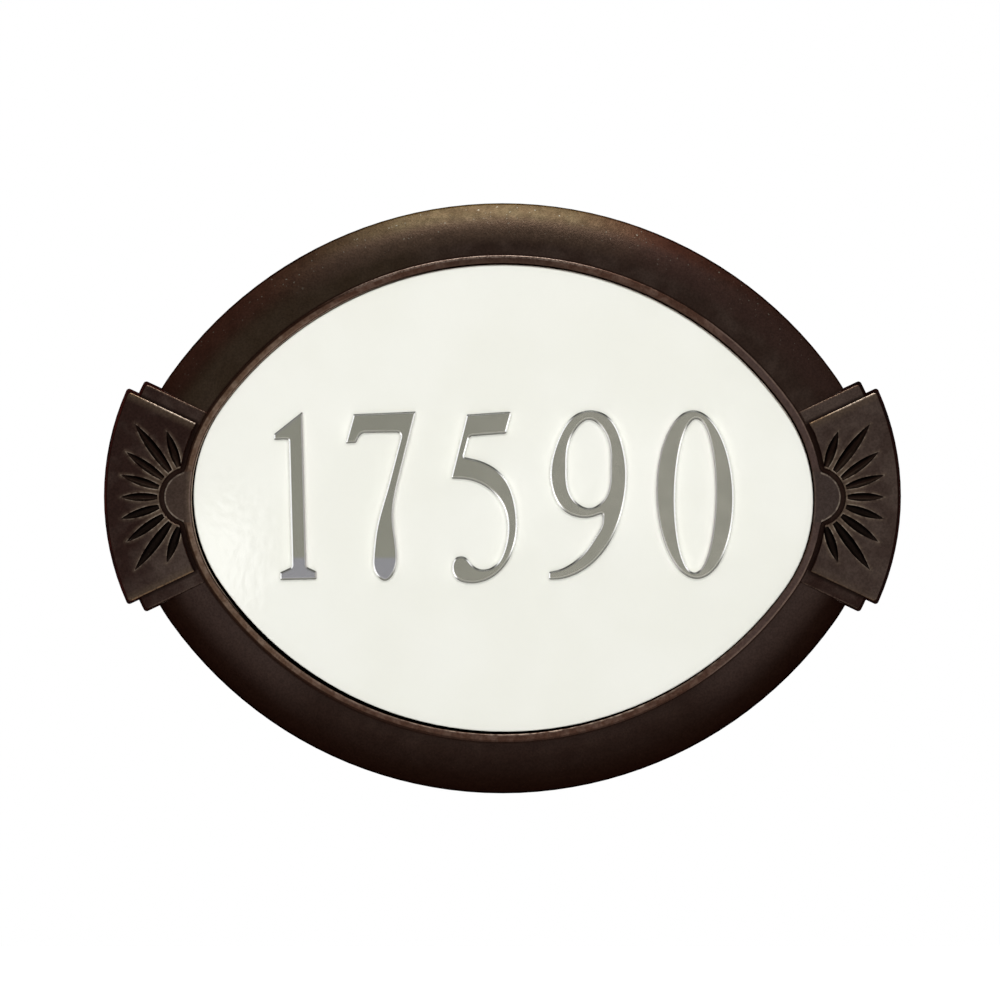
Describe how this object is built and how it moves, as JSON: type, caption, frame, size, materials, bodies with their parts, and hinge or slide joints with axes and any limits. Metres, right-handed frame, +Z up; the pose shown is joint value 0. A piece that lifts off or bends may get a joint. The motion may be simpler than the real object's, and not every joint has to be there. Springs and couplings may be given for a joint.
{
  "type": "house number plaque",
  "caption": "Oval cast wall plaque with sunburst ears, a glossy ivory face plate and polished metal numerals, fixed blind on studs from behind.",
  "frame": {"origin": "middle of the casting's back, in the plane of the wall, at the centre of the four studs", "axes": "+X to the right as the plaque is read, +Y into the wall, +Z up; the front faces -Y"},
  "size_m": [0.359, 0.0514, 0.2654],
  "materials": {
    "bronze_casting": "dark rubbed bronze coating, worn to coppery brown on the raised edges, satin",
    "ivory_enamel": "gloss enamel",
    "numeral_metal": "polished",
    "foam_tape": "closed-cell foam",
    "adhesive_pad": "clear adhesive",
    "stud_steel": "plain, threaded"
  },
  "bodies": {
    "root": {"surround": "bronze_casting", "face_plate": "ivory_enamel", "plate_tape": "foam_tape", "mounting_studs": "stud_steel", "numeral_one": "numeral_metal", "numeral_seven": "numeral_metal", "numeral_five": "numeral_metal", "numeral_nine": "numeral_metal", "numeral_zero": "numeral_metal", "pad_one": "adhesive_pad", "pad_seven": "adhesive_pad", "pad_five": "adhesive_pad", "pad_nine": "adhesive_pad", "pad_zero": "adhesive_pad"}
  },
  "joints": []
}
